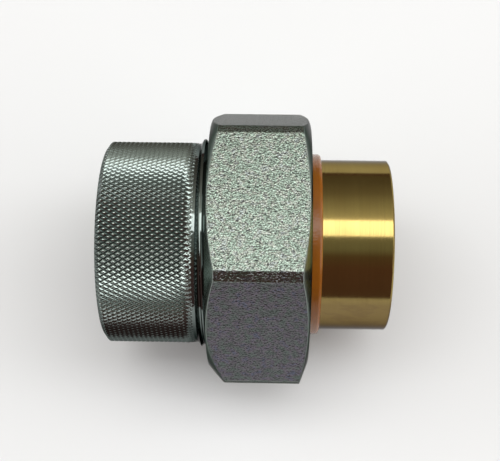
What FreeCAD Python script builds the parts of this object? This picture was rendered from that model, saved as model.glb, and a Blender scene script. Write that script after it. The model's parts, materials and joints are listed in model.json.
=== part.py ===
import FreeCAD, Part
import math
import os

import Sketcher

# Dielectric union, 3/4 inch: a threaded steel half, an insulating gasket and sleeve, a brass
# solder tailpiece and the hexagon nut that clamps them. The pipe runs along X, with the steel
# half at -X and the tailpiece at +X. The origin is on the pipe's axis at mid-length, and the
# nut lies on one flat, with its top and bottom flats square to Z. All sizes are millimetres.

DRIVING_SIZES = [
    # Steel half, from its outer end towards the gasket
    ("knurl_length", 14.25),
    ("neck_length", 0.4),
    ("union_thread_length", 8.7),
    ("knurl_diameter", 32.0),
    ("knurl_pitch", 2.1),
    ("knurl_depth", 0.3),
    ("knurl_angle", 30.0),
    ("knurl_fade_length", 0.9),
    ("steel_rim_chamfer_depth", 0.8),
    ("steel_rim_chamfer_length", 0.55),
    ("neck_step", 0.7),
    ("union_thread_run_out", 0.45),
    ("union_thread_bevel", 0.8),
    ("port_thread_minor_diameter", 23.9),
    ("port_thread_depth", 14.2),
    ("port_mouth_chamfer", 1.3),
    ("steel_waterway_diameter", 20.9),
    # Gasket
    ("gasket_thickness", 2.0),
    ("gasket_bore", 21.6),
    # Brass tailpiece
    ("tail_diameter", 27.0),
    ("flange_thickness", 2.2),
    ("solder_cup_diameter", 22.35),
    ("solder_cup_depth", 16.4),
    ("tube_stop_length", 2.3),
    ("tail_waterway_diameter", 20.2),
    ("tail_end_bevel", 0.25),
    ("cup_mouth_bevel", 0.35),
    # Insulating sleeve
    ("sleeve_wall", 0.85),
    ("sleeve_web_thickness", 1.0),
    ("sleeve_web_stand_out", 1.2),
    ("sleeve_lip_height", 1.7),
    ("sleeve_lip_bevel", 0.35),
    # Union nut
    ("nut_width", 15.4),
    ("nut_flat_wall", 3.1),
    ("nut_corner_cut", 0.92),
    ("nut_end_wall", 3.2),
    ("nut_thread_end_inset", 0.3),
    ("nut_thread_end_angle", 26.0),
    ("nut_wall_end_inset", 0.8),
    ("nut_wall_end_angle", 20.5),
    ("nut_mouth_bevel", 0.5),
    ("nut_relief_width", 1.6),
    ("nut_relief_depth", 0.35),
    # Clearances and steps between the pieces, each on the radius
    ("tail_to_sleeve_clearance", 0.05),
    ("sleeve_to_nut_clearance", 0.15),
    ("flange_inset", 0.3),
    ("union_thread_depth", 0.92),
    ("web_to_thread_clearance", 0.08),
    ("union_thread_clearance", 0.15),
]

doc = FreeCAD.newDocument("dielectric_union")


def make_size_sheet(driving_sizes):
    """Put each driving size in a row of the sheet, with its name beside it as its alias."""
    sheet = doc.addObject("Spreadsheet::Sheet", "sizes")
    for row, (alias, size) in enumerate(driving_sizes, start=1):
        sheet.set(f"A{row}", alias)
        sheet.set(f"B{row}", str(size))
        sheet.setAlias(f"B{row}", alias)
    doc.recompute()
    return sheet


sizes = make_size_sheet(DRIVING_SIZES)

# Lengths and places along the pipe's axis, from the steel half's outer end
STEEL_LENGTH = "(sizes.knurl_length + sizes.neck_length + sizes.union_thread_length)"
TAIL_LENGTH = "(sizes.tube_stop_length + sizes.solder_cup_depth)"
FLANGE_FACE = f"({STEEL_LENGTH} + sizes.gasket_thickness)"
TOTAL_LENGTH = f"({FLANGE_FACE} + {TAIL_LENGTH})"
SLEEVE_FACE = f"({FLANGE_FACE} + sizes.flange_thickness)"
NUT_SEAT = f"({SLEEVE_FACE} + sizes.sleeve_web_thickness)"
NUT_FACE = f"({NUT_SEAT} + sizes.nut_end_wall - sizes.nut_width)"

# Radii, each following from the piece inside it: the tail sets the sleeve, whose web just
# passes the nut's thread, and the thread sets the nut
TAIL_RADIUS = "(sizes.tail_diameter / 2)"
SLEEVE_BORE_RADIUS = f"({TAIL_RADIUS} + sizes.tail_to_sleeve_clearance)"
SLEEVE_RADIUS = f"({SLEEVE_BORE_RADIUS} + sizes.sleeve_wall)"
WEB_RADIUS = f"({SLEEVE_RADIUS} + sizes.sleeve_web_stand_out)"
FLANGE_RADIUS = f"({WEB_RADIUS} - sizes.flange_inset)"
NUT_HOLE_RADIUS = f"({SLEEVE_RADIUS} + sizes.sleeve_to_nut_clearance)"
UNION_THREAD_RADIUS = f"({WEB_RADIUS} + sizes.web_to_thread_clearance + sizes.union_thread_depth)"
NUT_THREAD_RADIUS = f"({UNION_THREAD_RADIUS} + sizes.union_thread_clearance)"
NUT_FLAT_RADIUS = f"({NUT_THREAD_RADIUS} + sizes.nut_flat_wall)"
NUT_CORNER_RADIUS = f"({NUT_FLAT_RADIUS} / cos(30 deg))"
NUT_THREAD_END_RADIUS = f"({NUT_FLAT_RADIUS} - sizes.nut_thread_end_inset)"
NUT_WALL_END_RADIUS = f"({NUT_FLAT_RADIUS} - sizes.nut_wall_end_inset)"


def evaluate(expression):
    """Give an expression on the sheet's sizes as a number."""
    return float(sizes.evalExpression(expression.replace("sizes.", "")))


def make_body(name, face_expression):
    """Start a piece whose own X runs from its left face, placed where that face lies."""
    body = doc.addObject("PartDesign::Body", name)
    body.Label = name
    body.setExpression("Placement.Base.x", f"{face_expression} - {TOTAL_LENGTH} / 2")
    return body


def origin_plane(body, role):
    """Find one of the body's own datum planes by its role."""
    return next(item for item in body.Origin.OriginFeatures if item.Role == role)


def start_sketch(body, name, role):
    sketch = body.newObject("Sketcher::SketchObject", name)
    sketch.AttachmentSupport = [(origin_plane(body, role), "")]
    sketch.MapMode = "FlatFace"
    return sketch


def pin_vertex(sketch, line, label, x_expression, radius_expression):
    """Hold a line's start point at its place along the axis and its radius."""
    for kind, axis_letter, expression in (
        ("DistanceX", "x", x_expression),
        ("DistanceY", "r", radius_expression),
    ):
        index = sketch.addConstraint(
            Sketcher.Constraint(kind, -1, 1, line, 1, evaluate(expression))
        )
        sketch.renameConstraint(index, f"{label}_{axis_letter}")
        sketch.setExpression(f"Constraints.{label}_{axis_letter}", expression)


def half_section(body, name, outline):
    """Draw a closed half section, X along the axis and Y the radius, from its corners."""
    sketch = start_sketch(body, name, "XY_Plane")
    corners = [FreeCAD.Vector(evaluate(x), evaluate(radius), 0) for x, radius in outline]
    for start, end in zip(corners, corners[1:] + corners[:1]):
        sketch.addGeometry(Part.LineSegment(start, end), False)
    count = len(outline)
    for line in range(count):
        following = (line + 1) % count
        sketch.addConstraint(Sketcher.Constraint("Coincident", line, 2, following, 1))
    for line, (x, radius) in enumerate(outline):
        pin_vertex(sketch, line, f"corner{line}", x, radius)
    return sketch


def turn(body, kind, name, outline):
    """Revolve a half section about the pipe's axis, to add metal or to cut it away."""
    sketch = half_section(body, f"{name}_section", outline)
    feature = body.newObject(kind, name)
    feature.Profile = sketch
    feature.ReferenceAxis = (sketch, ["H_Axis"])
    feature.Angle = 360.0
    sketch.Visibility = False
    doc.recompute()
    return feature


def turn_on(body, name, outline):
    return turn(body, "PartDesign::Revolution", name, outline)


def turn_away(body, name, outline):
    """Cut a turned form, and make sure that the cut took metal away."""
    volume_before = body.Tip.Shape.Volume
    feature = turn(body, "PartDesign::Groove", name, outline)
    if not feature.Shape.Volume < volume_before:
        raise RuntimeError(f"{name} cut nothing")
    return feature


def circle_edge(shape, x, radius):
    """Name the circular edge that lies at this place along the axis, with this radius."""
    near = 0.001
    for number, edge in enumerate(shape.Edges, start=1):
        if not isinstance(edge.Curve, Part.Circle):
            continue
        if abs(edge.Curve.Radius - radius) < near and abs(edge.Curve.Center.x - x) < near:
            return f"Edge{number}"
    raise RuntimeError(f"no circular edge at x {x} with radius {radius}")


def bevel(body, name, places, size_expression):
    """Bevel the circular edges at the given places, in the body's own frame."""
    base = body.Tip
    edges = [
        circle_edge(base.Shape, evaluate(x), evaluate(radius)) for x, radius in places
    ]
    feature = body.newObject("PartDesign::Chamfer", name)
    feature.Base = (base, edges)
    feature.setExpression("Size", size_expression)
    doc.recompute()
    return feature


def knurl_rings():
    """Rings of corners round the barrel: plain at the rim and at the neck, and between them
    high and low by turns, so that the low ones lie on the crossing grooves."""
    length = evaluate("sizes.knurl_length")
    start = evaluate("sizes.steel_rim_chamfer_length")
    end = length - evaluate("sizes.knurl_fade_length")
    tip = evaluate("sizes.knurl_diameter / 2")
    groove = tip - evaluate("sizes.knurl_depth")
    pitch = evaluate("sizes.knurl_pitch")
    corners = 2 * round(2 * math.pi * tip / pitch)
    row_length = pitch / 2 / math.tan(math.radians(evaluate("sizes.knurl_angle")))
    rows = round((end - start) / row_length)
    places = [start + (end - start) * row / rows for row in range(rows + 1)]

    def ring(x, high, low):
        turns = [2 * math.pi * corner / corners for corner in range(corners)]
        reach = [high if corner % 2 == 0 else low for corner in range(corners)]
        return [
            FreeCAD.Vector(x, radius * math.cos(turn), radius * math.sin(turn))
            for radius, turn in zip(reach, turns)
        ]

    rim = tip - evaluate("sizes.steel_rim_chamfer_depth")
    rings = [ring(0, rim, rim)]
    for row, x in enumerate(places):
        rings.append(ring(x, tip, groove) if row % 2 else ring(x, groove, tip))
    rings.append(ring(length, tip, tip))
    return rings


def make_knurled_barrel():
    """Close flat faces over the rings. Each face leans from a groove up to a diamond's tip."""
    rings = knurl_rings()
    corners = len(rings[0])
    facets = []
    for row, (ring, following_ring) in enumerate(zip(rings, rings[1:])):
        for corner in range(corners):
            following = (corner + 1) % corners
            near, next_near = ring[corner], ring[following]
            far, next_far = following_ring[corner], following_ring[following]
            if (row + corner) % 2:
                facets += [(near, next_near, next_far), (near, next_far, far)]
            else:
                facets += [(near, next_near, far), (next_near, next_far, far)]
    outlines = [*facets, rings[0], rings[-1]]
    faces = [Part.Face(Part.makePolygon([*outline, outline[0]])) for outline in outlines]
    shell = Part.makeShell(faces)
    shell.sewShape()
    barrel = doc.addObject("Part::Feature", "knurled_barrel")
    barrel.Shape = Part.makeSolid(shell)
    return barrel


def make_steel_body():
    """The threaded half: a turned steel barrel, knurled for grip, with the union's thread."""
    body = make_body("steel_body", "0")
    body.BaseFeature = make_knurled_barrel()
    neck = f"({UNION_THREAD_RADIUS} - sizes.neck_step)"
    thread_start = "(sizes.knurl_length + sizes.neck_length)"
    turn_on(body, "neck_and_thread", [
        ("sizes.knurl_length", "0"),
        (STEEL_LENGTH, "0"),
        (STEEL_LENGTH, UNION_THREAD_RADIUS),
        (f"{thread_start} + sizes.union_thread_run_out", UNION_THREAD_RADIUS),
        (thread_start, neck),
        ("sizes.knurl_length", neck),
    ])
    port = "(sizes.port_thread_minor_diameter / 2)"
    waterway = "(sizes.steel_waterway_diameter / 2)"
    turn_away(body, "port", [
        ("0", "0"),
        (STEEL_LENGTH, "0"),
        (STEEL_LENGTH, waterway),
        (f"sizes.port_thread_depth + {port} - {waterway}", waterway),
        ("sizes.port_thread_depth", port),
        ("0", port),
    ])
    bevel(body, "thread_end", [(STEEL_LENGTH, UNION_THREAD_RADIUS)], "sizes.union_thread_bevel")
    bevel(body, "port_mouth", [("0", port)], "sizes.port_mouth_chamfer")
    return body


def make_gasket():
    """The flat insulating ring between the steel seat and the brass flange."""
    body = make_body("gasket", STEEL_LENGTH)
    turn_on(body, "ring", [
        ("0", "sizes.gasket_bore / 2"),
        ("sizes.gasket_thickness", "sizes.gasket_bore / 2"),
        ("sizes.gasket_thickness", FLANGE_RADIUS),
        ("0", FLANGE_RADIUS),
    ])
    return body


def make_brass_tailpiece():
    """The solder half: a turned brass tube with a flange at its inner end and a tube cup."""
    body = make_body("brass_tailpiece", FLANGE_FACE)
    turn_on(body, "blank", [
        ("0", "0"),
        (TAIL_LENGTH, "0"),
        (TAIL_LENGTH, TAIL_RADIUS),
        ("sizes.flange_thickness", TAIL_RADIUS),
        ("sizes.flange_thickness", FLANGE_RADIUS),
        ("0", FLANGE_RADIUS),
    ])
    waterway = "sizes.tail_waterway_diameter / 2"
    cup = "sizes.solder_cup_diameter / 2"
    turn_away(body, "solder_cup", [
        ("0", "0"),
        (TAIL_LENGTH, "0"),
        (TAIL_LENGTH, cup),
        ("sizes.tube_stop_length", cup),
        ("sizes.tube_stop_length", waterway),
        ("0", waterway),
    ])
    bevel(body, "tail_end", [(TAIL_LENGTH, TAIL_RADIUS)], "sizes.tail_end_bevel")
    bevel(body, "cup_mouth", [(TAIL_LENGTH, cup)], "sizes.cup_mouth_bevel")
    return body


def make_insulating_sleeve():
    """The moulded collar that keeps the nut off the brass: a tube with a web behind it."""
    body = make_body("insulating_sleeve", SLEEVE_FACE)
    sleeve_end = "(sizes.sleeve_web_thickness + sizes.nut_end_wall + sizes.sleeve_lip_height)"
    turn_on(body, "collar", [
        ("0", SLEEVE_BORE_RADIUS),
        (sleeve_end, SLEEVE_BORE_RADIUS),
        (sleeve_end, SLEEVE_RADIUS),
        ("sizes.sleeve_web_thickness", SLEEVE_RADIUS),
        ("sizes.sleeve_web_thickness", WEB_RADIUS),
        ("0", WEB_RADIUS),
    ])
    bevel(body, "lip", [(sleeve_end, SLEEVE_RADIUS)], "sizes.sleeve_lip_bevel")
    return body


def hexagon_sketch(body, name):
    """Draw the nut's hexagon square to the axis, with a flat on top."""
    sketch = start_sketch(body, name, "YZ_Plane")
    sides = 6
    corner_radius = evaluate(NUT_CORNER_RADIUS)
    corners = [
        FreeCAD.Vector(
            corner_radius * math.cos(2 * math.pi * step / sides),
            corner_radius * math.sin(2 * math.pi * step / sides),
            0,
        )
        for step in range(sides)
    ]
    for start, end in zip(corners, corners[1:] + corners[:1]):
        sketch.addGeometry(Part.LineSegment(start, end), False)
    axis = FreeCAD.Vector(0, 0, 1)
    circle = sketch.addGeometry(Part.Circle(FreeCAD.Vector(), axis, corner_radius), True)
    for line in range(sides):
        sketch.addConstraint(Sketcher.Constraint("Coincident", line, 2, (line + 1) % sides, 1))
        sketch.addConstraint(Sketcher.Constraint("PointOnObject", line, 1, circle))
    for line in range(1, sides):
        sketch.addConstraint(Sketcher.Constraint("Equal", 0, line))
    sketch.addConstraint(Sketcher.Constraint("Coincident", circle, 3, -1, 1))
    sketch.addConstraint(Sketcher.Constraint("Horizontal", 1))
    index = sketch.addConstraint(Sketcher.Constraint("Radius", circle, corner_radius))
    sketch.renameConstraint(index, "corner_radius")
    sketch.setExpression("Constraints.corner_radius", NUT_CORNER_RADIUS)
    return sketch


def long_edges(shape):
    """Name the straight edges that run along the axis."""
    names = []
    for number, edge in enumerate(shape.Edges, start=1):
        if not isinstance(edge.Curve, Part.Line):
            continue
        if abs(abs(edge.Curve.Direction.x) - 1) < 1e-6:
            names.append(f"Edge{number}")
    return names


def make_union_nut():
    """The forged hexagon nut: cut corners, turned ends, a threaded bore and an end wall."""
    body = make_body("union_nut", NUT_FACE)
    hexagon = body.newObject("PartDesign::Pad", "hexagon")
    hexagon.Profile = hexagon_sketch(body, "hexagon_outline")
    hexagon.setExpression("Length", "sizes.nut_width")
    doc.recompute()
    corners = body.newObject("PartDesign::Chamfer", "cut_corners")
    corners.Base = (hexagon, long_edges(hexagon.Shape))
    corners.setExpression("Size", "sizes.nut_corner_cut")
    doc.recompute()
    thread_end_depth = f"({NUT_CORNER_RADIUS} - {NUT_THREAD_END_RADIUS})"
    turn_away(body, "thread_end_turning", [
        ("0", NUT_THREAD_END_RADIUS),
        (f"{thread_end_depth} * tan(sizes.nut_thread_end_angle * 1 deg)", NUT_CORNER_RADIUS),
        ("0", NUT_CORNER_RADIUS),
    ])
    wall_end_depth = f"({NUT_CORNER_RADIUS} - {NUT_WALL_END_RADIUS})"
    wall_fall = f"{wall_end_depth} * tan(sizes.nut_wall_end_angle * 1 deg)"
    turn_away(body, "wall_end_turning", [
        ("sizes.nut_width", NUT_WALL_END_RADIUS),
        ("sizes.nut_width", NUT_CORNER_RADIUS),
        (f"sizes.nut_width - {wall_fall}", NUT_CORNER_RADIUS),
    ])
    seat = "(sizes.nut_width - sizes.nut_end_wall)"
    relief_start = f"{seat} - sizes.nut_relief_width"
    turn_away(body, "threaded_bore", [
        ("0", "0"),
        ("sizes.nut_width", "0"),
        ("sizes.nut_width", NUT_HOLE_RADIUS),
        (seat, NUT_HOLE_RADIUS),
        (seat, f"{NUT_THREAD_RADIUS} + sizes.nut_relief_depth"),
        (relief_start, f"{NUT_THREAD_RADIUS} + sizes.nut_relief_depth"),
        (relief_start, NUT_THREAD_RADIUS),
        ("0", NUT_THREAD_RADIUS),
    ])
    bevel(body, "bore_mouth", [("0", NUT_THREAD_RADIUS)], "sizes.nut_mouth_bevel")
    return body


pieces = [
    make_steel_body(),
    make_gasket(),
    make_brass_tailpiece(),
    make_insulating_sleeve(),
    make_union_nut(),
]
doc.recompute()

for item in doc.Objects:
    if "Invalid" in item.State or "Error" in item.State:
        raise RuntimeError(f"{item.Label} failed: {item.State}")

for piece in pieces:
    if piece.Shape.isNull() or not piece.Shape.isValid():
        raise RuntimeError(f"{piece.Label} has no sound shape")
    if len(piece.Shape.Solids) != 1:
        raise RuntimeError(f"{piece.Label} is not one solid")

os.makedirs("parts", exist_ok=True)
for piece in pieces:
    piece.Shape.exportStep(f"parts/{piece.Label}.step")
    box = piece.Shape.BoundBox
    print(
        f"{piece.Label}: {piece.Shape.Volume:.1f} mm3,",
        f"x {box.XMin:.2f} to {box.XMax:.2f},",
        f"y {box.YMin:.2f} to {box.YMax:.2f},",
        f"z {box.ZMin:.2f} to {box.ZMax:.2f}",
    )
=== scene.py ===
import json
import math

import bmesh
import bpy
from mathutils import Matrix, Vector


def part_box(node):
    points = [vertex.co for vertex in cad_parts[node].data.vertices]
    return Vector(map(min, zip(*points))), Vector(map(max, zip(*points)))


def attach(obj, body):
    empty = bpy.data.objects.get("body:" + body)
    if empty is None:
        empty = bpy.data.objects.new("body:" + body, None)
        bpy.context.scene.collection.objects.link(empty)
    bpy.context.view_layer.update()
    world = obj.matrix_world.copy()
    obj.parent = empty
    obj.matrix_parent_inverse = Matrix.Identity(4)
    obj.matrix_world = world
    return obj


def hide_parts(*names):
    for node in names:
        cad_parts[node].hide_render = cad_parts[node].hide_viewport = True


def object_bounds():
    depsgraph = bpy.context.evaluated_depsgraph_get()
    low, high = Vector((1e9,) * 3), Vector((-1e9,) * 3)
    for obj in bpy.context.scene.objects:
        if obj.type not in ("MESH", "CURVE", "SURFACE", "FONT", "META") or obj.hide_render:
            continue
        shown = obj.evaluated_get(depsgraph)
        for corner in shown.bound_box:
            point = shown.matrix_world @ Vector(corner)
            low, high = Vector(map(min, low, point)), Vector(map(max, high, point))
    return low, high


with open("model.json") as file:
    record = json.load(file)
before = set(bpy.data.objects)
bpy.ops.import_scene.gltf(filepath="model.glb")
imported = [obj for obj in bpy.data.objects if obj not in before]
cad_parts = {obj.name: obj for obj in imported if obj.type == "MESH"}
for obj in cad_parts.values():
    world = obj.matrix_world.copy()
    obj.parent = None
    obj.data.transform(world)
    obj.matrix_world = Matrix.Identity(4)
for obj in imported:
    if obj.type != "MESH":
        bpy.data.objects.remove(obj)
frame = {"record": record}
MM = 0.001  # metres
cad_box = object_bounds()

# Camera
# It looks down on the union from the front, 160 mm away, with the pipe's axis across the
# picture. The steel half is at the left, and the solder end is a little nearer.
AIM_ALONG_PIPE = 0.325 * MM
CAMERA_DISTANCE = 160.2 * MM
CAMERA_ELEVATION = math.radians(71.8)
SOLDER_END_NEARER = 0.0217
AXIS_FALL_IN_PICTURE = 0.0145
LENS, SENSOR = 71.73, 36.0
PICTURE_SHIFT = (0.0013, 0.0256)

toward_camera = Vector((
    SOLDER_END_NEARER,
    -math.cos(CAMERA_ELEVATION),
    math.sin(CAMERA_ELEVATION),
)).normalized()
pipe_axis = Vector((1, 0, 0))
picture_right = (pipe_axis - toward_camera * pipe_axis.dot(toward_camera)).normalized()
picture_up = toward_camera.cross(picture_right)
basis = Matrix((picture_right, picture_up, toward_camera)).transposed()
basis = basis @ Matrix.Rotation(AXIS_FALL_IN_PICTURE, 3, "Z")

camera = bpy.data.objects.new("camera", bpy.data.cameras.new("camera"))
camera.data.lens = LENS
camera.data.sensor_width = SENSOR
camera.data.shift_x, camera.data.shift_y = PICTURE_SHIFT
camera.data.clip_start, camera.data.clip_end = 1 * MM, 20.0
camera.matrix_world = (
    Matrix.Translation(Vector((AIM_ALONG_PIPE, 0, 0)) + toward_camera * CAMERA_DISTANCE)
    @ basis.to_4x4()
)
bpy.context.scene.collection.objects.link(camera)
bpy.context.scene.camera = camera


# Studio
# A pale floor under the part, a long soft lamp overhead that makes the bright line along the
# top of every turned surface, a lamp at each end, and a dim room, brown at the front and
# brightest behind the lamp.
class Wire:
    """A node's output. Arithmetic on it adds the Math nodes that work the value out."""

    def __init__(self, tree, socket):
        self.tree, self.socket = tree, socket

    def node(self, kind, settings=None, sockets=None, output=0):
        """Add any node: its settings are set first, then each socket's value or link."""
        node = self.tree.nodes.new(kind)
        for name, value in (settings or {}).items():
            if name == "stops":
                ramp = node.color_ramp
                while len(ramp.elements) < len(value):
                    ramp.elements.new(1.0)
                for element, (place, shade) in zip(ramp.elements, value):
                    element.position = place
                    element.color = (*shade, 1.0)
            else:
                setattr(node, name, value)
        for name, value in (sockets or {}).items():
            socket = node.inputs[name]
            if isinstance(value, Wire):
                self.tree.links.new(value.socket, socket)
            elif value is not None:
                socket.default_value = value
        return Wire(self.tree, node.outputs[output])

    def math(self, operation, *values):
        sockets = dict(enumerate((self, *values)))
        return self.node("ShaderNodeMath", {"operation": operation}, sockets)

    def __add__(self, other):
        return self.math("ADD", other)

    def __mul__(self, other):
        return self.math("MULTIPLY", other)

    def __sub__(self, other):
        return self.math("SUBTRACT", other)

    def __rsub__(self, other):
        return (self * -1.0).math("ADD", other)

    def __truediv__(self, other):
        return self.math("DIVIDE", other)

    def clamped(self, low=0.0, high=1.0):
        """The value, held between two others."""
        return self.math("MAXIMUM", low).math("MINIMUM", high)

    def axes(self):
        """The X, Y and Z of a vector."""
        split = self.node("ShaderNodeSeparateXYZ", {}, {0: self}).socket.node
        return [Wire(self.tree, output) for output in split.outputs]

    def stretched(self, *scale):
        """A place times a scale along each axis."""
        return self.node("ShaderNodeMapping", {}, {"Vector": self, "Scale": scale})

    def noise(self, scale, detail=2.0, distortion=0.0):
        """Noise at a place, whose scale is about the number of its spots in a metre."""
        return self.node("ShaderNodeTexNoise", {}, {
            "Vector": self, "Scale": scale, "Detail": detail, "Distortion": distortion
        })


def blend_colours(factor, first, second):
    """Mix two colours, or colour wires, by a factor wire. The Mix node has a set of sockets
    for each kind of data, and its colours are the sixth and seventh."""
    return factor.node(
        "ShaderNodeMix", {"data_type": "RGBA"}, {0: factor, 6: first, 7: second}, output=2
    )


def colour(red, green, blue):
    return (red, green, blue, 1.0)


def new_material(name):
    """Start a material. Gives it, its Principled shader and a wire of the place on the object,
    which is the fourth output of its node."""
    material = bpy.data.materials.new(name)
    material.use_nodes = True
    shader = material.node_tree.nodes["Principled BSDF"]
    place = Wire(material.node_tree, None).node("ShaderNodeTexCoord", output=3)
    return material, shader, place


def link_surface(material, shader, shade, roughness, height, depth, strength=1.0):
    """Link a material's colour, its roughness, and its relief of a depth in metres."""
    bump = height.node(
        "ShaderNodeBump", {}, {"Strength": strength, "Distance": depth, "Height": height}
    )
    for wire, socket in ((shade, "Base Color"), (roughness, "Roughness"), (bump, "Normal")):
        material.node_tree.links.new(wire.socket, shader.inputs[socket])
    return material


FLOOR_WIDTH = 0.6
FLOOR_COLOUR = colour(0.79, 0.80, 0.825)
floor_height = cad_box[0].z

floor_mesh = bpy.data.meshes.new("floor")
half = FLOOR_WIDTH / 2
floor_mesh.from_pydata(
    [(-half, -half, floor_height), (half, -half, floor_height),
     (half, half, floor_height), (-half, half, floor_height)],
    [],
    [(0, 1, 2, 3)],
)
floor = bpy.data.objects.new("floor", floor_mesh)
bpy.context.scene.collection.objects.link(floor)
floor_material, floor_shader, _ = new_material("pale_floor")
floor_shader.inputs["Base Color"].default_value = FLOOR_COLOUR
floor_shader.inputs["Roughness"].default_value = 0.9
floor_shader.inputs["Specular IOR Level"].default_value = 0.1
floor_mesh.materials.append(floor_material)


def add_softbox(name, elevation, turn, distance, width, height, radiance):
    """Hang a rectangular lamp that faces the part: elevation goes from the front, over the
    top, to the back, and turn swings it along the pipe. Radiance is what a mirror shows."""
    direction = Matrix.Rotation(turn, 3, "Y") @ Vector(
        (0, -math.cos(elevation), math.sin(elevation))
    )
    lamp = bpy.data.lights.new(name, "AREA")
    lamp.shape = "RECTANGLE"
    lamp.size, lamp.size_y = width, height
    lamp.energy = radiance * math.pi * width * height
    holder = bpy.data.objects.new(name, lamp)
    along = Vector((1, 0, 0))
    side = direction.cross(along).normalized()
    along = side.cross(direction)
    holder.matrix_world = Matrix.Translation(direction * distance) @ Matrix(
        (along, side, direction)
    ).transposed().to_4x4()
    bpy.context.scene.collection.objects.link(holder)


add_softbox(
    "overhead_lamp",
    elevation=math.radians(94),
    turn=math.radians(8),
    distance=0.6,
    width=1.1,
    height=0.22,
    radiance=3.3,
)
for name, turn in (("steel_end_lamp", -66), ("solder_end_lamp", 66)):
    add_softbox(
        name,
        elevation=math.radians(90),
        turn=math.radians(turn),
        distance=0.7,
        width=0.35,
        height=0.9,
        radiance=2.4,
    )

# The room's colour by the angle from the front horizon, over the top, to the back horizon
ROOM = [
    (0, (0.14, 0.08, 0.075)),
    (40, (0.16, 0.085, 0.075)),
    (56, (0.17, 0.12, 0.09)),
    (66, (0.30, 0.31, 0.27)),
    (83, (0.34, 0.35, 0.31)),
    (103, (1.25, 1.22, 1.10)),
    (112, (0.80, 0.79, 0.70)),
    (124, (0.56, 0.55, 0.48)),
    (145, (0.28, 0.255, 0.22)),
    (165, (0.18, 0.155, 0.13)),
    (180, (0.16, 0.135, 0.11)),
]
world = bpy.data.worlds.new("room")
world.use_nodes = True
bpy.context.scene.world = world
room = Wire(world.node_tree, None).node("ShaderNodeTexCoord", output=0)
_, toward_back, upward = room.axes()
angle_over_the_top = upward.math("ARCTAN2", toward_back * -1.0)
room_shade = room.node(
    "ShaderNodeValToRGB",
    {"stops": [(degrees / 180, shade) for degrees, shade in ROOM]},
    {0: angle_over_the_top / math.pi},
)
background = world.node_tree.nodes["Background"]
world.node_tree.links.new(room_shade.socket, background.inputs["Color"])
background.inputs["Strength"].default_value = 1.0

bpy.context.scene.view_settings.view_transform = "Standard"


# Steel half
# A bar-turned carbon steel barrel, zinc plated. A diamond knurl is rolled over its outside
# and onto the rim's chamfer, a pipe thread is cut in its port, and the union's own thread
# is cut on the inner end, which the nut hides until it is drawn back.
STEEL_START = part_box("steel_body")[0].x
STEEL_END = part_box("steel_body")[1].x
KNURL_RADIUS = 16.0 * MM
KNURL_LENGTH = 14.25 * MM
KNURL_STARTS = 124
KNURL_ROWS = 20
DIAMOND_HEIGHT = 0.30 * MM
DIAMOND_SHARES = (0.18, 0.36, 0.68, 1.0)
DIAMOND_SLOPES = (0.5, 0.85, 1.15)
RIM_DEPTH, RIM_LENGTH = 0.8 * MM, 0.55 * MM
RIM_FADE, NECK_FADE = 0.3 * MM, 1.3 * MM
NECK_RADIUS = 15.9 * MM
NECK_LENGTH = 0.4 * MM
RUN_OUT_LENGTH = 0.45 * MM
UNION_THREAD_RADIUS = 16.6 * MM
UNION_THREAD_DEPTH = 0.92 * MM
UNION_THREAD_PITCH = 1.5 * MM
UNION_THREAD_BEVEL = 0.8 * MM
UNION_CREST_PLACE = -6.825 * MM  # of a crest on the +Y side, in the nut too
PORT_RADIUS = frame["record"]["mounts"][0]["dims"]["r_mm"] * MM
PORT_THREAD_DEPTH = 1.2 * MM
PORT_THREAD_PITCH = 25.4 / 14 * MM
PORT_DEPTH = 14.2 * MM
PORT_CHAMFER = 1.3 * MM
STEEL_WATERWAY_RADIUS = 10.45 * MM
# Where the edges of a diamond's rings meet the ends of the knurl, as shares of its width
KNURL_RING_SHARES = (
    0,
    *(share / 2 for share in DIAMOND_SHARES),
    *(1 - share / 2 for share in reversed(DIAMOND_SHARES[:-1])),
)
STEEL_COLUMNS = KNURL_STARTS * len(KNURL_RING_SHARES)
THREAD_COLUMN_SHARE = 4
THREAD_COLUMNS = STEEL_COLUMNS // THREAD_COLUMN_SHARE
THREAD_ROWS_PER_TURN = 8
EDGE_EASE = 0.12 * MM


def eased(outline, radius=EDGE_EASE, steps=2):
    """Round the inner corners of an open outline of (x, radius) points with small arcs."""
    points = [Vector(point) for point in outline]
    result = [points[0]]
    for before, corner, after in zip(points, points[1:], points[2:]):
        inward, outward = before - corner, after - corner
        reach = 0.45 * min(inward.length, outward.length)
        inward.normalize()
        outward.normalize()
        half_turn = (math.pi - inward.angle(outward)) / 2
        setback = min(reach, radius * math.tan(half_turn))
        start, end = corner + inward * setback, corner + outward * setback
        for step in range(steps + 1):
            share = step / steps
            near, far = start.lerp(corner, share), corner.lerp(end, share)
            result.append(near.lerp(far, share))
    result.append(points[-1])
    return result


def skin_rings(mesh, rings):
    """Join rings of points with quads, each ring closed on itself."""
    rows = [[mesh.verts.new(point) for point in ring] for ring in rings]
    for first, second in zip(rows, rows[1:]):
        for column in range(len(first)):
            following = (column + 1) % len(first)
            mesh.faces.new((first[column], first[following], second[following], second[column]))


def turned_rings(outline, columns, first_turns=None, last_share=1):
    """Turn (x, radius) points about the axis. The first ring may have angles of its own, and
    a last share of 2 or 4 sets the last ring's columns together by as many, where it meets
    a surface that has fewer."""
    rings = []
    for place, (x, radius) in enumerate(outline):
        share = last_share if place == len(outline) - 1 else 1
        turns = [
            2 * math.pi * (column - column % share) / columns for column in range(columns)
        ]
        if first_turns and place == 0:
            turns = first_turns
        rings.append([(x, radius * math.cos(turn), radius * math.sin(turn)) for turn in turns])
    return rings


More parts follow.
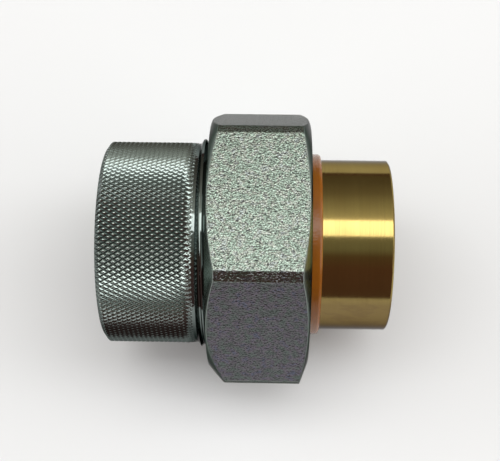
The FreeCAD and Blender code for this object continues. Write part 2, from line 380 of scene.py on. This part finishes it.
class GeometryTree:
    """A Geometry Nodes tree with named inputs, which a modifier sets by identifier."""

    def __init__(self, name):
        self.tree = bpy.data.node_groups.new(name, "GeometryNodeTree")
        add_socket = self.tree.interface.new_socket
        add_socket("Geometry", in_out="INPUT", socket_type="NodeSocketGeometry")
        add_socket("Geometry", in_out="OUTPUT", socket_type="NodeSocketGeometry")
        self.entry = self.tree.nodes.new("NodeGroupInput")
        self.exit = self.tree.nodes.new("NodeGroupOutput")
        self.root = Wire(self.tree, self.entry.outputs[0])

    def input(self, name, kind="NodeSocketFloat"):
        self.tree.interface.new_socket(name, in_out="INPUT", socket_type=kind)
        return Wire(self.tree, self.entry.outputs[name])

    def finish(self, geometry):
        """End the tree: real geometry, in the finish that its last input gives."""
        finish = self.input("Finish", "NodeSocketMaterial")
        real = geometry.node("GeometryNodeRealizeInstances", {}, {"Geometry": geometry})
        real = real.node("GeometryNodeSetMaterial", {}, {"Geometry": real, "Material": finish})
        self.tree.links.new(real.socket, self.exit.inputs[0])

    def identifier(self, name):
        return next(
            item.identifier
            for item in self.tree.interface.items_tree
            if item.in_out == "INPUT" and item.name == name
        )


def grid_rows_and_columns(root, rows, columns):
    """A grid of rows by columns of points, with the row and column of each."""
    grid = root.node("GeometryNodeMeshGrid", {}, {"Vertices X": rows, "Vertices Y": columns})
    index = root.node("GeometryNodeInputIndex")
    row = ((index + 0.5) / columns).math("FLOOR")
    return grid, row, index - row * columns


def wrap_round_pipe(grid, x, radius, angle):
    """Move each point to its place on a surface round the pipe's axis."""
    place = grid.node(
        "ShaderNodeCombineXYZ",
        {},
        {"X": x, "Y": radius * angle.math("COSINE"), "Z": radius * angle.math("SINE")},
    )
    return grid.node("GeometryNodeSetPosition", {}, {"Geometry": grid, "Position": place})


def knurl_diamond():
    """One diamond: a small flat, and four sides that steepen down to the grooves. X runs
    along the pipe, Y is the angle round it and Z the height over the barrel."""
    half_length, half_turn = KNURL_LENGTH / KNURL_ROWS, math.pi / KNURL_STARTS
    heights = [0.0]
    for inner, outer, slope in zip(DIAMOND_SHARES, DIAMOND_SHARES[1:], DIAMOND_SLOPES):
        heights.append(heights[-1] - DIAMOND_HEIGHT * slope * (outer - inner))
    diamond = bmesh.new()
    rings = []
    for share, height in zip(DIAMOND_SHARES, heights):
        rings.append([
            (share * along * half_length, share * across * half_turn, height)
            for along, across in ((1, 0), (0, 1), (-1, 0), (0, -1))
        ])
    skin_rings(diamond, rings)
    diamond.faces.new(list(diamond.verts)[:4])
    data = bpy.data.meshes.new("knurl_diamond")
    diamond.to_mesh(data)
    diamond.free()
    return data


def make_knurl_tree():
    """Rows of diamonds, each row half a diamond round from the last. Their height fades out
    at the rim and at the neck, and halves that stand over the ends are cut off."""
    tree = GeometryTree("diamond_knurl")
    start, end = tree.input("Start"), tree.input("End")
    radius, end_radius = tree.input("Radius"), tree.input("End Radius")
    rim_depth, rim_length = tree.input("Rim Depth"), tree.input("Rim Length")
    rim_fade, neck_fade = tree.input("Rim Fade"), tree.input("Neck Fade")
    rows = tree.input("Rows", "NodeSocketInt")
    starts = tree.input("Starts", "NodeSocketInt")
    points, row, column = grid_rows_and_columns(tree.root, rows + 1, starts)
    column += row.math("MODULO", 2.0) * 0.5
    row_place = start + (end - start) * row / rows
    lattice = tree.root.node(
        "ShaderNodeCombineXYZ", {}, {"X": row_place, "Y": column / starts * (2 * math.pi)}
    )
    points = points.node(
        "GeometryNodeSetPosition", {}, {"Geometry": points, "Position": lattice}
    )
    skin = points.node(
        "GeometryNodeInstanceOnPoints", {}, {"Points": points, "Instance": tree.root}
    )
    skin = skin.node("GeometryNodeRealizeInstances", {}, {"Geometry": skin})
    place = tree.root.node("GeometryNodeInputPosition")
    x, turn, height = place.axes()
    hair = 0.01 * MM
    outside = (start - hair - x).math("MAXIMUM", x - end - hair).math("GREATER_THAN", 0.0)
    skin = skin.node("GeometryNodeDeleteGeometry", {"domain": "FACE"}, {
        "Geometry": skin, "Selection": outside
    })
    held_x = x.clamped(start, end)
    from_rim, from_neck = held_x - start, end - held_x
    rim = (1.0 - from_rim / rim_length).clamped()
    fade = (from_rim / rim_fade).clamped() * (from_neck / neck_fade).clamped()
    neck = (1.0 - from_neck / neck_fade).clamped()
    surface = radius - rim_depth * rim - (radius - end_radius) * neck + height * fade
    tree.finish(wrap_round_pipe(skin, held_x, surface, turn))
    return tree


def make_thread_tree():
    """A screw thread between an open mouth, bevelled at 45 degrees, and a plain inner ring.
    Its rows climb with the helix, and stop at the two planes. Side is 1 outside the pipe
    and -1 in a bore, and the depth is positive towards the axis. The flat halves of a crest
    and the flanks are shares of the pitch."""
    half_crest, flank = 1 / 16, 5 / 16
    micron = 0.001 * MM
    tree = GeometryTree("screw_thread")
    low, high = tree.input("Low End"), tree.input("High End")
    mouth_at_high = tree.input("Mouth At High End")
    radius, depth = tree.input("Radius"), tree.input("Depth")
    mouth_radius, side = tree.input("Mouth Radius"), tree.input("Side")
    pitch, crest_place = tree.input("Pitch"), tree.input("Crest Place")
    rows = tree.input("Rows", "NodeSocketInt")
    columns = tree.input("Columns", "NodeSocketInt")
    grid, row, column = grid_rows_and_columns(tree.root, rows + 1, columns + 1)
    along = (row + 0.5) / THREAD_ROWS_PER_TURN
    from_crest = 0.5 - (along.math("FRACT") - 0.5).math("ABSOLUTE")
    share = ((from_crest - half_crest) / flank).clamped()
    start_turn = ((low - crest_place) / pitch).math("FLOOR") - 2.0
    free_x = crest_place + (start_turn + along + column / columns) * pitch
    x = free_x.clamped(low, high)
    mouth = low + (high - low) * mouth_at_high
    inner = high - (high - low) * mouth_at_high
    from_mouth = (x - mouth).math("ABSOLUTE")
    from_inner = (x - inner).math("ABSOLUTE")
    run_out = (from_inner / (pitch * 0.5)).clamped()
    surface = radius - depth * share * run_out
    cone = mouth_radius + side * from_mouth
    surface = side * (side * surface).math("MINIMUM", side * cone)
    at_mouth = 1.0 - (from_mouth / micron).clamped()
    surface = surface * (1.0 - at_mouth) + mouth_radius * at_mouth
    tree.finish(wrap_round_pipe(grid, x, surface, column / columns * (2 * math.pi)))
    return tree


def thread_rows(low, high, pitch):
    """Enough rows for a thread to pass both its planes, wherever its helix starts."""
    return THREAD_ROWS_PER_TURN * (math.ceil((high - low) / pitch) + 3)


def run_tree(tree, name, finish, settings, start_mesh=None):
    """Run a tree with its inputs set, and give the plain mesh that it makes."""
    holder = bpy.data.objects.new(name, start_mesh or bpy.data.meshes.new(name))
    bpy.context.scene.collection.objects.link(holder)
    modifier = holder.modifiers.new(name, "NODES")
    modifier.node_group = tree.tree
    for label, value in {**settings, "Finish": finish}.items():
        modifier[tree.identifier(label)] = value
    graph = bpy.context.evaluated_depsgraph_get()
    data = bpy.data.meshes.new_from_object(holder.evaluated_get(graph))
    holder.modifiers.remove(modifier)
    bpy.data.objects.remove(holder)
    return data


def close_piece(name, mesh, material, body, node):
    """Weld the surfaces of a piece into one closed skin, and put it in the CAD node's place.
    Edges that turn more than the crisp angle stay sharp."""
    weld_distance, sliver_width = 0.0005 * MM, 0.0001 * MM
    crisp_angle = math.radians(28)
    bmesh.ops.remove_doubles(mesh, verts=mesh.verts, dist=weld_distance)
    bmesh.ops.dissolve_degenerate(mesh, edges=mesh.edges, dist=sliver_width)
    bmesh.ops.recalc_face_normals(mesh, faces=mesh.faces)
    open_edges = sum(1 for edge in mesh.edges if not edge.is_manifold)
    data = bpy.data.meshes.new(name)
    mesh.to_mesh(data)
    mesh.free()
    data.materials.append(material)
    data.shade_smooth()
    data.set_sharp_from_angle(angle=crisp_angle)
    piece = bpy.data.objects.new(name, data)
    bpy.context.scene.collection.objects.link(piece)
    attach(piece, body)
    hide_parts(node)
    triangles = sum(len(face.vertices) - 2 for face in data.polygons)
    print(f"{name}: {triangles} triangles, {open_edges} open edges")


def make_zinc_steel():
    """Dark bright zinc over steel, duller in the knurl's grooves. Painted shade darkens its
    colour in the knurl's grooves, low on the front, and on the neck between the knurl and the
    nut.
    The neck is turned in fine rings, and a second pass of the knurling wheel has scuffed the
    last row of diamonds."""
    groove_depth, knurl_blur = 0.2 * MM, 0.1 * MM
    # Where the painted shade low on the front ends, and how softly it fades
    painted_shade_top, painted_shade_blur, front_blur = 8.5 * MM, 4 * MM, 1 * MM
    scuff_width, scuff_depth = 1.2 * MM, 8.0
    # Colours of painted shade: one for the knurl's grooves and low on the front, one for the
    # neck
    painted_shade_zinc, painted_neck_shade = colour(0.06, 0.072, 0.068), colour(0.05, 0.055, 0.055)
    material, shader, place = new_material("zinc_plated_steel")
    shader.inputs["Metallic"].default_value = 1.0
    shader.inputs["Specular Tint"].default_value = colour(0.3, 0.3, 0.3)
    x, across, up = place.axes()
    radius = (across * across + up * up).math("SQRT")
    on_knurl = ((knurl_end - x) / knurl_blur).clamped()
    on_neck = 1.0 - on_knurl
    groove = ((KNURL_RADIUS - radius) / groove_depth).clamped() * on_knurl
    painted_low_front_shade = ((painted_shade_top - up) / painted_shade_blur).clamped() * (across / -front_blur).clamped()
    shade = blend_colours(
        place.noise(350.0, detail=3.0), colour(0.30, 0.355, 0.34), colour(0.38, 0.44, 0.42)
    )
    # Painted shade: the colour darkens in the knurl's grooves
    shade = blend_colours(groove * 0.6, shade, painted_shade_zinc)
    # Painted shade: the colour darkens low on the front
    shade = blend_colours(painted_low_front_shade * 0.85, shade, painted_shade_zinc)
    # Painted shade: the neck between the knurl and the nut is darker
    shade = blend_colours(on_neck * 0.55, shade, painted_neck_shade)
    fine = place.noise(4200.0)
    roughness = fine * 0.07 + 0.04 + groove * 0.15
    rings = place.stretched(9000.0, 60.0, 60.0).noise(1.0)
    turn = up.math("ARCTAN2", across) / (2 * math.pi) * KNURL_STARTS
    row = (x - STEEL_START) / KNURL_LENGTH * KNURL_ROWS / 2

    def wheel_line(phase):
        """1 where the phase is whole, and 0 from a sixth of the way to the next line."""
        return ((phase.math("FRACT") * 2.0 - 1.0).math("ABSOLUTE") * 3.0 - 2.0).clamped()

    second_pass = wheel_line(turn + row + 0.3).math("MAXIMUM", wheel_line(turn - row + 0.2))
    scuffed = ((x - knurl_end) / scuff_width + 1.0).clamped() * on_knurl
    height = rings * on_neck + fine * 0.3 - second_pass * scuffed * scuff_depth
    return link_surface(material, shader, shade, roughness, height, 0.008 * MM)


knurl_tree = make_knurl_tree()
thread_tree = make_thread_tree()
knurl_end = STEEL_START + KNURL_LENGTH
thread_start = knurl_end + NECK_LENGTH + RUN_OUT_LENGTH
port_end = STEEL_START + PORT_DEPTH
port_cone_end = port_end + PORT_RADIUS - STEEL_WATERWAY_RADIUS
rim_radius = KNURL_RADIUS - RIM_DEPTH
port_mouth_radius = PORT_RADIUS + PORT_CHAMFER
thread_mouth_radius = UNION_THREAD_RADIUS - UNION_THREAD_BEVEL
knurl_ring_turns = [
    2 * math.pi * (start + share) / KNURL_STARTS
    for start in range(KNURL_STARTS)
    for share in KNURL_RING_SHARES
]
zinc_steel = make_zinc_steel()

steel = bmesh.new()
steel.from_mesh(run_tree(knurl_tree, "knurl", zinc_steel, {
    "Start": STEEL_START,
    "End": knurl_end,
    "Radius": KNURL_RADIUS,
    "End Radius": NECK_RADIUS,
    "Rim Depth": RIM_DEPTH,
    "Rim Length": RIM_LENGTH,
    "Rim Fade": RIM_FADE,
    "Neck Fade": NECK_FADE,
    "Rows": KNURL_ROWS,
    "Starts": KNURL_STARTS,
}, knurl_diamond()))
steel.from_mesh(run_tree(thread_tree, "union_thread", zinc_steel, {
    "Low End": thread_start,
    "High End": STEEL_END,
    "Mouth At High End": 1.0,
    "Radius": UNION_THREAD_RADIUS,
    "Depth": UNION_THREAD_DEPTH,
    "Mouth Radius": thread_mouth_radius,
    "Side": 1.0,
    "Pitch": UNION_THREAD_PITCH,
    "Crest Place": UNION_CREST_PLACE,
    "Rows": thread_rows(thread_start, STEEL_END, UNION_THREAD_PITCH),
    "Columns": THREAD_COLUMNS,
}))
steel.from_mesh(run_tree(thread_tree, "port_thread", zinc_steel, {
    "Low End": STEEL_START,
    "High End": port_end,
    "Mouth At High End": 0.0,
    "Radius": PORT_RADIUS,
    "Depth": -PORT_THREAD_DEPTH,
    "Mouth Radius": port_mouth_radius,
    "Side": -1.0,
    "Pitch": PORT_THREAD_PITCH,
    "Crest Place": STEEL_START,
    "Rows": thread_rows(STEEL_START, port_end, PORT_THREAD_PITCH),
    "Columns": THREAD_COLUMNS,
}))
skin_rings(steel, turned_rings(
    eased([
        (knurl_end, NECK_RADIUS),
        (knurl_end + NECK_LENGTH, NECK_RADIUS),
        (thread_start, UNION_THREAD_RADIUS),
    ]),
    STEEL_COLUMNS,
    first_turns=knurl_ring_turns,
    last_share=THREAD_COLUMN_SHARE,
))
skin_rings(steel, turned_rings(
    eased([
        (STEEL_END, thread_mouth_radius),
        (STEEL_END, STEEL_WATERWAY_RADIUS),
        (port_cone_end, STEEL_WATERWAY_RADIUS),
        (port_end, PORT_RADIUS),
    ]),
    THREAD_COLUMNS,
))
skin_rings(steel, turned_rings(
    [
        (STEEL_START, rim_radius),
        (STEEL_START, rim_radius - EDGE_EASE),
        (STEEL_START, port_mouth_radius),
    ],
    STEEL_COLUMNS,
    first_turns=knurl_ring_turns,
    last_share=THREAD_COLUMN_SHARE,
))
close_piece(
    "knurled_steel_half", steel, zinc_steel, "steel_half", "steel_body"
)


# Gasket
# A flat black rubber ring, cut from sheet. The nut squeezes it between the steel seat and
# the brass flange, and it keeps the two metals apart.
GASKET_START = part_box("gasket")[0].x
GASKET_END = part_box("gasket")[1].x
FLANGE_RADIUS = 15.3 * MM
GASKET_BORE_RADIUS = 10.8 * MM
GASKET_COLUMNS = 192


def closed_turning(outline, columns, radius=EDGE_EASE):
    """Rings for a piece whose outline closes on itself, with every corner eased."""
    loop = eased([outline[-1], *outline, outline[0]], radius)[1:-1]
    return turned_rings([*loop, loop[0]], columns)


def make_rubber():
    """Dull black rubber with a fine grain."""
    material, shader, place = new_material("black_rubber")
    shader.inputs["Specular IOR Level"].default_value = 0.35
    grain = place.noise(3000.0, detail=3.0)
    shade = blend_colours(grain, colour(0.018, 0.018, 0.019), colour(0.045, 0.045, 0.046))
    roughness = grain * 0.3 + 0.55
    return link_surface(material, shader, shade, roughness, grain, 0.02 * MM, strength=0.4)


gasket = bmesh.new()
skin_rings(gasket, closed_turning([
    (GASKET_START, GASKET_BORE_RADIUS),
    (GASKET_START, FLANGE_RADIUS),
    (GASKET_END, FLANGE_RADIUS),
    (GASKET_END, GASKET_BORE_RADIUS),
], GASKET_COLUMNS))
close_piece("rubber_gasket", gasket, make_rubber(), "tail_group", "gasket")


# Brass tailpiece
# Turned from brass bar: a tube with a flange at its inner end, and a cup at its outer end
# that a copper tube is soldered into. The tool leaves fine rings all along it.
TAIL_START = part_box("brass_tailpiece")[0].x
TAIL_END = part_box("brass_tailpiece")[1].x
TAIL_RADIUS = 13.5 * MM
FLANGE_THICKNESS = 2.2 * MM
CUP_RADIUS = 11.175 * MM
CUP_DEPTH = 16.4 * MM
TAIL_WATERWAY_RADIUS = 10.1 * MM
TAIL_END_BEVEL, CUP_BEVEL = 0.25 * MM, 0.35 * MM
TAIL_EDGE_EASE = 0.06 * MM
TAIL_COLUMNS = 320


def make_turned_brass():
    """Bright brass with the tool's fine rings. Low on the front its colour is a painted shade
    of brown, in which faint crooked lines show."""
    painted_shade_edge, painted_shade_blur = 2.2 * MM, 3 * MM
    material, shader, place = new_material("turned_brass")
    shader.inputs["Metallic"].default_value = 1.0
    shader.inputs["Specular Tint"].default_value = colour(0.42, 0.42, 0.45)
    _, across, up = place.axes()
    shade = blend_colours(
        place.noise(260.0, detail=4.0), colour(0.375, 0.295, 0.105), colour(0.32, 0.23, 0.075)
    )
    # Painted shade: brown low on the front, with faint crooked lines in it
    painted_low_front_shade = ((across * -1.0 - up - painted_shade_edge) / painted_shade_blur).clamped()
    crooked = place.stretched(160.0, 420.0, 420.0).noise(1.0, detail=5.0)
    line = (1.0 - (crooked - 0.5).math("ABSOLUTE") * 20.0).clamped() * 0.14
    shade = blend_colours(painted_low_front_shade * (line + 0.6), shade, colour(0.14, 0.09, 0.05))
    rings = place.stretched(5500.0, 40.0, 40.0).noise(1.0, detail=4.0)
    dark_rings = (rings * 2.4 - 0.9).clamped()
    shade = blend_colours(dark_rings * 0.3, shade, colour(0.20, 0.14, 0.05))
    return link_surface(material, shader, shade, rings * 0.14 + 0.05, rings, 0.02 * MM)


tail = bmesh.new()
skin_rings(tail, closed_turning([
    (TAIL_START, TAIL_WATERWAY_RADIUS),
    (TAIL_START, FLANGE_RADIUS),
    (TAIL_START + FLANGE_THICKNESS, FLANGE_RADIUS),
    (TAIL_START + FLANGE_THICKNESS, TAIL_RADIUS),
    (TAIL_END - TAIL_END_BEVEL, TAIL_RADIUS),
    (TAIL_END, TAIL_RADIUS - TAIL_END_BEVEL),
    (TAIL_END, CUP_RADIUS + CUP_BEVEL),
    (TAIL_END - CUP_BEVEL, CUP_RADIUS),
    (TAIL_END - CUP_DEPTH, CUP_RADIUS),
    (TAIL_END - CUP_DEPTH, TAIL_WATERWAY_RADIUS),
], TAIL_COLUMNS, TAIL_EDGE_EASE))
turned_brass = make_turned_brass()
close_piece(
    "brass_solder_tail", tail, turned_brass, "tail_group", "brass_tailpiece"
)


# Insulating sleeve
# One nylon moulding: a tube round the brass with a web behind the nut's end wall. Only its
# rounded lip shows. The nut bears on it, so no metal of the nut touches the brass.
SLEEVE_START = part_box("insulating_sleeve")[0].x
SLEEVE_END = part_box("insulating_sleeve")[1].x
SLEEVE_BORE_RADIUS = 13.55 * MM
SLEEVE_RADIUS = 14.4 * MM
SLEEVE_WEB_RADIUS = 15.6 * MM
SLEEVE_WEB_THICKNESS = 1.0 * MM
SLEEVE_LIP_ROUND = 0.45 * MM
SLEEVE_LIP_SHOULDER = 0.3 * SLEEVE_LIP_ROUND
SLEEVE_COLUMNS = 256


def make_nylon():
    """Orange nylon, a little cloudy, that lets some light in. Its skin is finely pebbled."""
    material, shader, place = new_material("orange_nylon")
    shader.inputs["Specular IOR Level"].default_value = 0.4
    shader.inputs["Subsurface Weight"].default_value = 0.15
    shader.inputs["Subsurface Radius"].default_value = (1.0, 0.35, 0.1)
    shader.inputs["Subsurface Scale"].default_value = 0.6 * MM
    shade = blend_colours(
        place.noise(420.0, detail=3.0), colour(0.31, 0.10, 0.006), colour(0.21, 0.065, 0.004)
    )
    pebble = place.noise(2600.0, detail=3.0)
    roughness = pebble * 0.3 + 0.05
    return link_surface(material, shader, shade, roughness, pebble, 0.09 * MM, strength=0.6)


sleeve = bmesh.new()
skin_rings(sleeve, closed_turning([
    (SLEEVE_START, SLEEVE_BORE_RADIUS),
    (SLEEVE_START, SLEEVE_WEB_RADIUS),
    (SLEEVE_START + SLEEVE_WEB_THICKNESS, SLEEVE_WEB_RADIUS),
    (SLEEVE_START + SLEEVE_WEB_THICKNESS, SLEEVE_RADIUS),
    (SLEEVE_END - SLEEVE_LIP_ROUND, SLEEVE_RADIUS),
    (SLEEVE_END - SLEEVE_LIP_SHOULDER, SLEEVE_RADIUS - SLEEVE_LIP_SHOULDER),
    (SLEEVE_END, SLEEVE_RADIUS - SLEEVE_LIP_ROUND),
    (SLEEVE_END, SLEEVE_BORE_RADIUS),
], SLEEVE_COLUMNS))
close_piece(
    "nylon_sleeve", sleeve, make_nylon(), "tail_group", "insulating_sleeve"
)


# Union nut
# Hot forged steel, zinc plated: six rough flats with cut corners. Both ends are turned to a
# cone, which crosses the flats in arcs, and the bore is threaded up to a relief by the wall.
NUT_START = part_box("union_nut")[0].x
NUT_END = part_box("union_nut")[1].x
NUT_FLAT_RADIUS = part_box("union_nut")[1].z
NUT_CORNER_CUT = 0.92 * MM
THREAD_END_RADIUS = NUT_FLAT_RADIUS - 0.3 * MM
THREAD_END_SLOPE = math.tan(math.radians(26.0))
FRONT_CORNER_SLOPE, FRONT_CORNER_SPREAD = 0.4, 0.2
WALL_END_RADIUS = NUT_FLAT_RADIUS - 0.8 * MM
WALL_END_SLOPE = math.tan(math.radians(20.5))
NUT_END_WALL = 3.2 * MM
NUT_HOLE_RADIUS = 14.55 * MM
NUT_THREAD_RADIUS = 16.75 * MM
NUT_RELIEF_RADIUS = 17.1 * MM
NUT_RELIEF_WIDTH = 1.6 * MM
NUT_MOUTH_BEVEL = 0.5 * MM
FLAT_COLUMNS, CORNER_COLUMNS, FLAT_ROWS = 64, 6, 48
NUT_THREAD_COLUMN_SHARE = 2
FACE_STRIP = 0.3 * MM
NUT_EDGE_EASE, NUT_CORNER_EASE = 0.14 * MM, 0.35 * MM


def nut_outline():
    """The hexagon with cut corners as points (y, z), from the +Y corner. The flats and the
    cuts are finely stepped, and the small arcs between them are as they come."""
    shortest_cut = 1 * MM
    half_flat = NUT_FLAT_RADIUS * math.tan(math.pi / 6) - NUT_CORNER_CUT
    corners = []
    for side in range(6):
        turn = Matrix.Rotation(side * math.pi / 3, 2)
        for across in (half_flat, -half_flat):
            corners.append(turn @ Vector((across, NUT_FLAT_RADIUS)))
    loop = eased([corners[-1], *corners, corners[0]], NUT_CORNER_EASE)[1:-1]
    points = []
    for first, second in zip(loop, [*loop[1:], loop[0]]):
        width = (second - first).length
        steps = CORNER_COLUMNS if width > shortest_cut else 1
        if width > half_flat:
            steps = FLAT_COLUMNS
        points += [first.lerp(second, step / steps) for step in range(steps)]
    start = max(range(len(points)), key=lambda place: points[place].x)
    return points[start:] + points[:start]


def nut_rings(outline):
    """Rings from the face at the threaded end, over the flats, to the face at the wall,
    and a mark for each ring: 1 on the forged flats, 0 where the nut is turned. The forging
    sat off centre in the lathe, so the threaded end is turned deeper at the front corner."""
    columns = []
    for point in outline:
        reach = point.length
        direction = point.normalized()
        toward_front = max(0, FRONT_CORNER_SPREAD - 1 - direction.x) / FRONT_CORNER_SPREAD
        slope = THREAD_END_SLOPE + FRONT_CORNER_SLOPE * toward_front
        profile = eased([
            (NUT_START, THREAD_END_RADIUS - FACE_STRIP),
            (NUT_START, THREAD_END_RADIUS),
            (NUT_START + (reach - THREAD_END_RADIUS) * slope, reach),
            (NUT_END - (reach - WALL_END_RADIUS) * WALL_END_SLOPE, reach),
            (NUT_END, WALL_END_RADIUS),
            (NUT_END, WALL_END_RADIUS - FACE_STRIP),
        ], NUT_EDGE_EASE)
        middle = len(profile) // 2
        start, end = profile[middle - 1], profile[middle]
        band = [start.lerp(end, row / FLAT_ROWS) for row in range(FLAT_ROWS + 1)]
        profile = [*profile[:middle - 1], *band, *profile[middle + 1:]]
        columns.append([(x, *(direction * radius)) for x, radius in profile])
    rings = [list(ring) for ring in zip(*columns)]
    ends = (len(rings) - len(band)) // 2
    return rings, [0.0] * ends + [1.0] * len(band) + [0.0] * ends


def make_forged_zinc():
    """Zinc over a forged skin on the flats: sparkling grain with dark pits and faint green and
    pink tints. The front flat is finer and bluer, and painted shade makes it darker; the cut
    corner above it is partly so. The turned ends are smooth, with fine rings."""
    face_blur = math.radians(0.6)
    material, shader, place = new_material("zinc_plated_forging")
    shader.inputs["Metallic"].default_value = 1.0
    shader.inputs["Specular Tint"].default_value = colour(0.15, 0.15, 0.15)
    forged = place.node("ShaderNodeAttribute", {"attribute_name": "forged"}, output=2)
    _, across, up = place.axes()
    turn = up.math("ARCTAN2", across)

    def between(low, high):
        """1 on the face between two angles about the axis, in degrees, and 0 elsewhere."""
        from_low, from_high = turn - math.radians(low), math.radians(high) - turn
        return (from_low / face_blur).clamped() * (from_high / face_blur).clamped()

    front, corner_above_front = between(122, 178), between(117.7, 122)
    cloud = place.noise(900.0, detail=4.0)
    tint = cloud.node("ShaderNodeValToRGB", {"stops": [
        (0.36, (0.225, 0.275, 0.24)),
        (0.48, (0.24, 0.29, 0.255)),
        (0.56, (0.26, 0.285, 0.255)),
        (0.66, (0.24, 0.27, 0.26)),
    ]}, {0: cloud})
    # Painted shade: the front flat's tints are darker, and bluer, than those of the other flats
    front_tint_and_painted_shade = cloud.node("ShaderNodeValToRGB", {"stops": [
        (0.38, (0.13, 0.155, 0.145)),
        (0.50, (0.15, 0.15, 0.16)),
        (0.58, (0.165, 0.145, 0.175)),
        (0.66, (0.13, 0.14, 0.185)),
    ]}, {0: cloud})
    grain = place.noise(4300.0, detail=1.0, distortion=0.3)
    pit = ((front * 0.06 + 0.41 - grain) * 9.0).clamped()
    # The front flat, and partly the corner above it, take the darker tints of painted shade
    tint = blend_colours(front + corner_above_front * 0.6, tint, front_tint_and_painted_shade)
    tint = blend_colours(pit, tint, colour(0.075, 0.08, 0.08))
    shade = blend_colours(forged, colour(0.27, 0.31, 0.285), tint)
    rings = place.stretched(7000.0, 90.0, 90.0).noise(1.0)
    roughness = forged * front * 0.06 - forged * 0.10 + 0.2
    height = forged * grain * (1.0 - front * 0.3) + (1.0 - forged) * rings * 0.07
    return link_surface(material, shader, shade, roughness, height, 0.12 * MM)


nut_shape = nut_outline()
nut_columns = len(nut_shape)
forged_zinc = make_forged_zinc()
outside_rings, forged_marks = nut_rings(nut_shape)
nut_seat = NUT_END - NUT_END_WALL
nut_thread_end = nut_seat - NUT_RELIEF_WIDTH
nut_mouth_radius = NUT_THREAD_RADIUS + NUT_MOUTH_BEVEL

nut = bmesh.new()
forged_layer = nut.verts.layers.float.new("forged")
skin_rings(nut, outside_rings)
for vertex, mark in zip(nut.verts, (mark for mark in forged_marks for _ in range(nut_columns))):
    vertex[forged_layer] = mark
skin_rings(nut, [outside_rings[0], *turned_rings(
    [(NUT_START, THREAD_END_RADIUS - 2 * FACE_STRIP), (NUT_START, nut_mouth_radius)],
    nut_columns,
    last_share=NUT_THREAD_COLUMN_SHARE,
)])
skin_rings(nut, [outside_rings[-1], *turned_rings(
    eased([
        (NUT_END, WALL_END_RADIUS - 2 * FACE_STRIP),
        (NUT_END, NUT_HOLE_RADIUS),
        (nut_seat, NUT_HOLE_RADIUS),
        (nut_seat, NUT_RELIEF_RADIUS),
        (nut_thread_end, NUT_RELIEF_RADIUS),
        (nut_thread_end, NUT_THREAD_RADIUS),
    ]),
    nut_columns,
    last_share=NUT_THREAD_COLUMN_SHARE,
)])
nut.from_mesh(run_tree(thread_tree, "nut_thread", forged_zinc, {
    "Low End": NUT_START,
    "High End": nut_thread_end,
    "Mouth At High End": 0.0,
    "Radius": NUT_THREAD_RADIUS,
    "Depth": UNION_THREAD_DEPTH,
    "Mouth Radius": nut_mouth_radius,
    "Side": -1.0,
    "Pitch": UNION_THREAD_PITCH,
    "Crest Place": UNION_CREST_PLACE,
    "Rows": thread_rows(NUT_START, nut_thread_end, UNION_THREAD_PITCH),
    "Columns": nut_columns // NUT_THREAD_COLUMN_SHARE,
}))
close_piece("hexagon_nut", nut, forged_zinc, "nut", "union_nut")
